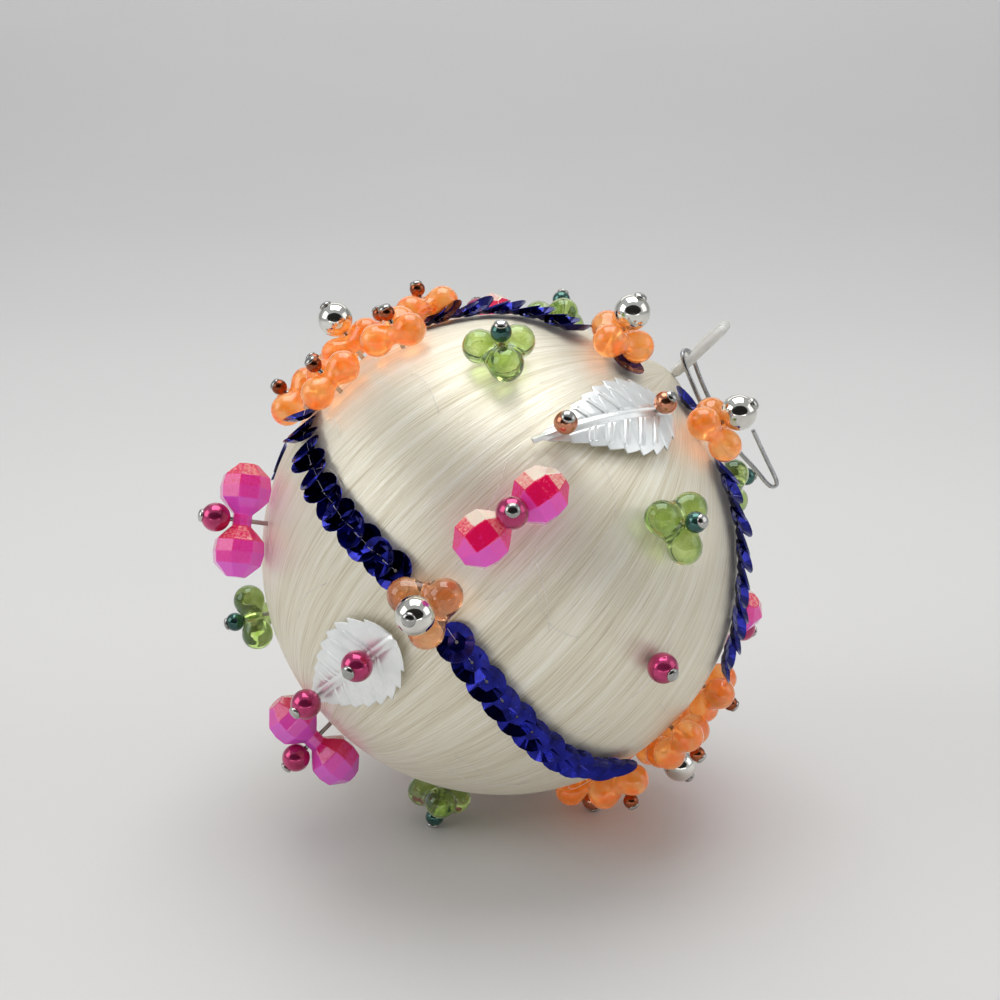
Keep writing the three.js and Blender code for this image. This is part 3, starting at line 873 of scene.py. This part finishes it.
# lean tips the discs toward the upper cluster and sway rolls them sideways, from first disc to last
strands = [
    {"name": "strand_front_upper", "count": 13, "lean": (26, 8), "sway": (-22, 0), "zigzag": 9,
     "stations": ((71, -11), (58.3, -5.8), (45, -2.9), (33, 0.1), (16.5, 4.2))},
    {"name": "strand_front_lower", "count": 12, "lean": (14, 22), "sway": (0, 0), "zigzag": 4,
     "stations": ((2.5, 4.4), (-15, 1.3), (-34, -2.6), (-48, -4), (-60, -2.5))},
    {"name": "strand_hanger_upper", "count": 11, "lean": (22, 20), "sway": (8, 0), "zigzag": 6,
     "stations": ((63, 88), (55, 92.5), (47, 95), (37, 91.5), (27, 85.5)), "single": ((14.6, 82.6),)},
    {"name": "strand_hanger_lower", "count": 13, "lean": (20, 24), "sway": (-6, -6), "zigzag": 6,
     "stations": ((-16, 82.6), (-31, 79), (-43, 73), (-63, 64)), "single": ((-1.4, 91.0),)},
    {"name": "strand_back_upper", "count": 11, "lean": (8, 24), "sway": (0, 0), "zigzag": 6,
     "stations": ((67, -84), (50, -108), (34, -121), (18.5, -128))},
    {"name": "strand_back_lower", "count": 11, "lean": (20, 26), "sway": (0, 0), "zigzag": 4,
     "stations": ((-4.5, -131), (-24, -130), (-42, -127), (-57, -121))},
]


def sequinShape():   # six-sided floor, wall that widens to a round rim
    low, high = -sequin["depth"] / 2, sequin["depth"] / 2
    profile = [(sequin["hole"], low), (sequin["flat"], low), (sequin["radius"], high)]
    bm = lathe(profile, sequin["facets"])
    for vert in bm.verts:
        if abs(vert.co.to_2d().length - sequin["flat"]) < 0.01:
            angle = math.atan2(vert.co.y, vert.co.x) % (math.pi / 3) - math.pi / 6
            vert.co.xy *= math.cos(math.pi / 6) / math.cos(angle) * sequin["floorGrow"]
    bmesh.ops.recalc_face_normals(bm, faces=bm.faces)
    bmesh.ops.solidify(bm, geom=list(bm.faces), thickness=sequin["film"])
    bmesh.ops.recalc_face_normals(bm, faces=bm.faces)
    return keepShape(bm, smooth=False)


cup = sequinShape()


def sequinRise(lean, sway):   # height at which a tipped disc just clears the floss
    upright = math.cos(math.radians(lean)) * math.cos(math.radians(sway))
    tipped = math.sqrt(1 - upright ** 2)
    half = sequin["depth"] / 2 * upright
    return sequin["clearance"] + max(sequin["radius"] * tipped - half, sequin["flat"] * tipped + half)


def between(ends, share):
    return ends[0] + (ends[1] - ends[0]) * share


def makeStrand(row):
    path = smoothRoute([unitPoint(*s) for s in row["stations"]], sequin["routeSteps"])
    path = [p.normalized() for p in path]
    reach = [0.0]
    for first, second in zip(path, path[1:]):
        reach.append(reach[-1] + (second - first).length)

    def pointAt(share):
        goal = share * reach[-1]
        k = max(i for i in range(len(reach) - 1) if reach[i] <= goal)
        return path[k].lerp(path[k + 1], (goal - reach[k]) / (reach[k + 1] - reach[k]))

    bm = bmesh.new()
    for lat, lon in row.get("single", ()):
        disc = seat(lat, lon) @ Matrix.Translation((0, 0, sequinRise(0, 0)))
        place(bm, cup, disc @ spin("Z", dice.uniform(0, 360)))
    threadPoints = []
    for i in range(row["count"]):
        share = (i + 0.5) / row["count"]
        lean = between(row["lean"], share) + dice.uniform(-1, 1) * sequin["jitter"]
        sway = between(row["sway"], share) + row["zigzag"] * (1 if i % 2 else -1)
        out = pointAt(share).normalized()
        ahead, behind = pointAt(share + sequin["nudge"]), pointAt(share - sequin["nudge"])
        side = (ahead - behind).cross(out).normalized()
        along = out.cross(side)
        middle = out * (ball["radius"] + sequinRise(lean, sway))
        basis = Matrix((side, along, out)).transposed().to_4x4() @ spin("X", lean) @ spin("Y", sway)
        spot = Matrix.Translation(middle) @ basis
        place(bm, cup, toRow @ lieTurn @ spot @ spin("Z", dice.uniform(0, 360)))
        for forward, above in sequin["threadPath"]:
            threadPoints.append(spot @ Vector((0, forward * sequin["radius"], above)))
    route = smoothRoute(threadPoints, sequin["threadSteps"])
    threadShape = tubeShape(route, sequin["thread"], sequin["threadSides"])
    place(bm, threadShape, toRow @ lieTurn, 1)
    bpy.data.meshes.remove(threadShape)
    makePiece(row["name"] + "_sequins", bm, ["sequin", "thread"], "sequin", row["name"])


for row in strands:
    makeStrand(row)
print("sequin strands sewn")

# plastic hanging loop and its wire hook
hanger = {
    "bar": 0.75,
    "halfWidth": 2.25,
    "length": 12.0,
    "lean": 4.0,
    "shift": 0.6,
    "sunk": 0.5,
    "wire": 0.35,
    "loopSteps": 40,
    "loopSides": 14,
    "wireSteps": 8,
    "wireSides": 12,
    "route": (
        (10, -3.8, -0.1), (6.7, -3.8, 0.8), (3.2, -3.8, 2.3), (0.6, -3.8, 3.5), (-0.6, -3.4, 4.3),
        (-0.9, -2.2, 4.9), (-0.4, -0.8, 5.4), (0.8, -0.1, 5.4), (2.3, 0.3, 4.6), (5, 0.8, 3.3),
        (8.8, 1.6, 1.8), (12.5, 2.2, 0.5), (16.5, 2.6, -0.6), (21, 2.8, -1), (24.3, 2.9, -1.4),
        (25.2, 2.9, -0.8), (24.6, 2.8, 0), (20.5, 2.4, 1.6), (16.2, 2, 3.3)),
}


def makeLoop():
    straight = hanger["length"] - 2 * (hanger["halfWidth"] + hanger["bar"])
    points = []
    for i in range(hanger["loopSteps"]):
        angle = 2 * math.pi * i / hanger["loopSteps"]
        lift = straight if math.sin(angle) > 1e-6 else 0.0
        across, up = hanger["halfWidth"] * math.cos(angle), hanger["halfWidth"] * math.sin(angle)
        points.append(Vector((0, across, up + lift)))
    shape = tubeShape(points, hanger["bar"], hanger["loopSides"], cyclic=True)
    foot = hanger["halfWidth"] + hanger["bar"]
    rise = ball["moundHeight"] + pins["clearance"] - hanger["sunk"]
    stand = Matrix.Translation((hanger["shift"], 0, rise)) @ spin("Y", hanger["lean"])
    bm = bmesh.new()
    place(bm, shape, seat(*ball["hanger"]) @ stand @ Matrix.Translation((0, 0, foot)))
    makePiece("hanging_loop", bm, ["milky"], "plastic", "hang_loop")


def makeHook():
    route = smoothRoute(hanger["route"], hanger["wireSteps"])
    shape = tubeShape(route, hanger["wire"], hanger["wireSides"])
    bm = bmesh.new()
    place(bm, shape, seat(*ball["hanger"]))
    makePiece("bent_wire_hook", bm, ["wire"], "wire", "wire_hook")


makeLoop()
makeHook()
print("hanger made")

# a few floss ends that lie loose on the ball
stray = {
    "count": 16,
    "radius": 0.035,
    "sides": 5,
    "steps": 8,
    "lift": 0.25,
    "arch": 0.5,
    "bow": 2.5,
    "length": (6.0, 16.0),
    "lat": (-60, 60),
    "lon": (-40, 60),
}


def makeStrayFloss():
    bm = bmesh.new()
    for _ in range(stray["count"]):
        lat, lon = dice.uniform(*stray["lat"]), dice.uniform(*stray["lon"])
        turn, length = dice.uniform(0, 360), dice.uniform(*stray["length"])
        bow = dice.uniform(-stray["bow"], stray["bow"])
        points = []
        for i in range(stray["steps"] + 1):
            t = i / stray["steps"]
            x, y = (t - 0.5) * length, bow * math.sin(math.pi * t)
            lift = ball["radius"] + stray["lift"] + stray["arch"] * math.sin(math.pi * t)
            points.append(bendOver(x, y, lift))
        shape = tubeShape(points, stray["radius"], stray["sides"])
        place(bm, shape, seat(lat, lon, turn))
        bpy.data.meshes.remove(shape)
    makePiece("stray_floss", bm, ["thread"], "satin")


makeStrayFloss()
print("stray floss laid")

# pale sweep, soft light from above and a dark card where the viewer stands
studio = {
    "floorWidth": 9.0,
    "front": -4.0,
    "curveStart": 0.3,
    "curveRadius": 2.2,
    "wallTop": 3.0,
    "curveSteps": 16,
    "floorTone": tone(216, 215, 213),
    "paperScale": 6.0,
    "paperShade": 0.98,
    "roughness": 0.55,
    "specular": 0.3,
    "worldTone": (0.9, 0.92, 0.95, 1),
    "worldStrength": 0.5,
}


def makeSweep():
    bm = bmesh.new()
    half = studio["floorWidth"] / 2
    line = [(studio["front"], 0.0), (0.0, 0.0)]
    for i in range(studio["curveSteps"] + 1):
        angle = math.pi / 2 * i / studio["curveSteps"]
        line.append((studio["curveStart"] + studio["curveRadius"] * math.sin(angle),
                     studio["curveRadius"] * (1 - math.cos(angle))))
    line.append((studio["curveStart"] + studio["curveRadius"], studio["wallTop"]))
    verts = [bm.verts.new((-half, y, z)) for y, z in line]
    edges = [bm.edges.new(pair) for pair in zip(verts, verts[1:])]
    made = bmesh.ops.extrude_edge_only(bm, edges=edges)
    pulled = [g for g in made["geom"] if isinstance(g, bmesh.types.BMVert)]
    bmesh.ops.translate(bm, vec=(2 * half, 0, 0), verts=pulled)
    bmesh.ops.recalc_face_normals(bm, faces=bm.faces)
    for face in bm.faces:
        face.smooth = True
    mesh = bpy.data.meshes.new("pale_sweep")
    bm.to_mesh(mesh)
    bm.free()
    material, tree, shader = newFinish("paleSweep", {
        "Roughness": studio["roughness"], "Specular IOR Level": studio["specular"]})
    paper = addMottle(tree, studio["paperScale"])
    shaded = (*(c * studio["paperShade"] for c in studio["floorTone"][:3]), 1)
    stops = ((0.0, shaded), (1.0, studio["floorTone"]))
    tree.links.new(ramp(tree, paper.outputs["Value"], stops), shader.inputs["Base Color"])
    mesh.materials.append(material)
    sweep = bpy.data.objects.new("pale_sweep", mesh)
    bpy.context.scene.collection.objects.link(sweep)


makeSweep()

card = {"place": (0.0, -0.4, 0.33), "size": (1.1, 0.62), "tone": tone(22, 20, 18), "segments": 64}


def makeCard():   # what the mirror-bright beads see where the viewer stands
    bm = bmesh.new()
    bmesh.ops.create_circle(bm, cap_ends=True, segments=card["segments"], radius=0.5)
    wide, tall = card["size"]
    bmesh.ops.scale(bm, vec=(wide, tall, 1), verts=bm.verts)
    bmesh.ops.transform(bm, matrix=Matrix.Translation(card["place"]) @ spin("X", 90), verts=bm.verts)
    mesh = bpy.data.meshes.new("viewer_card")
    bm.to_mesh(mesh)
    bm.free()
    material, _, _ = newFinish("darkCard", {"Base Color": card["tone"], "Roughness": 1.0})
    mesh.materials.append(material)
    sheet = bpy.data.objects.new("viewer_card", mesh)
    bpy.context.scene.collection.objects.link(sheet)
    sheet.visible_camera = False
    sheet.visible_diffuse = False
    sheet.visible_shadow = False


makeCard()

lamps = [
    {"name": "topLight", "place": (0.0, 0.1, 0.7), "aim": (0, 0, 0.04),
     "size": (0.55, 0.5), "watts": 2.6},
    {"name": "leftLight", "place": (-0.9, -0.2, 0.5), "aim": (0, 0, 0.04),
     "size": (0.6, 0.6), "watts": 2.1},
    {"name": "rightLight", "place": (0.9, -0.1, 0.45), "aim": (0, 0, 0.04),
     "size": (0.6, 0.6), "watts": 1.0},
    {"name": "lowLight", "place": (0.0, -0.55, 0.03), "aim": (0, 0, 0.03),
     "size": (0.9, 0.06), "watts": 0.4},
    {"name": "backLight", "place": (0.0, 1.7, 1.2), "aim": (0, 1.9, 0.0),
     "size": (2.2, 1.0), "watts": 8.0},
]


def makeLamp(row):
    light = bpy.data.lights.new(row["name"], "AREA")
    light.shape = "RECTANGLE"
    light.size, light.size_y = row["size"]
    light.energy = row["watts"]
    lamp = bpy.data.objects.new(row["name"], light)
    lamp.location = row["place"]
    aim = Vector(row["aim"]) - Vector(row["place"])
    lamp.rotation_euler = aim.to_track_quat("-Z", "Y").to_euler()
    bpy.context.scene.collection.objects.link(lamp)


for row in lamps:
    makeLamp(row)

world = bpy.data.worlds.new("studioWorld")
bpy.context.scene.world = world
world.use_nodes = True
sky = world.node_tree.nodes["Background"]
sky.inputs["Color"].default_value = studio["worldTone"]
sky.inputs["Strength"].default_value = studio["worldStrength"]

view = {"place": (-0.32, -209.18, 68.03), "pitch": 15.8, "lens": 49.14, "sensor": 36.0, "near": 0.01}
camera = bpy.data.objects.new("camera", bpy.data.cameras.new("camera"))
camera.data.sensor_width = view["sensor"]
camera.data.lens = view["lens"]
camera.data.clip_start = view["near"]
camera.location = (Vector(view["place"]) + Vector(ball["centre"])) * mm
camera.rotation_euler = (math.radians(90 - view["pitch"]), 0, 0)
bpy.context.scene.collection.objects.link(camera)
bpy.context.scene.camera = camera
bpy.context.scene.view_settings.view_transform = "Standard"
print("studio set")

for shape in (flower, dumbbellCut, leafBlade, cup, pinHead, *beadShapes.values()):
    bpy.data.meshes.remove(shape)
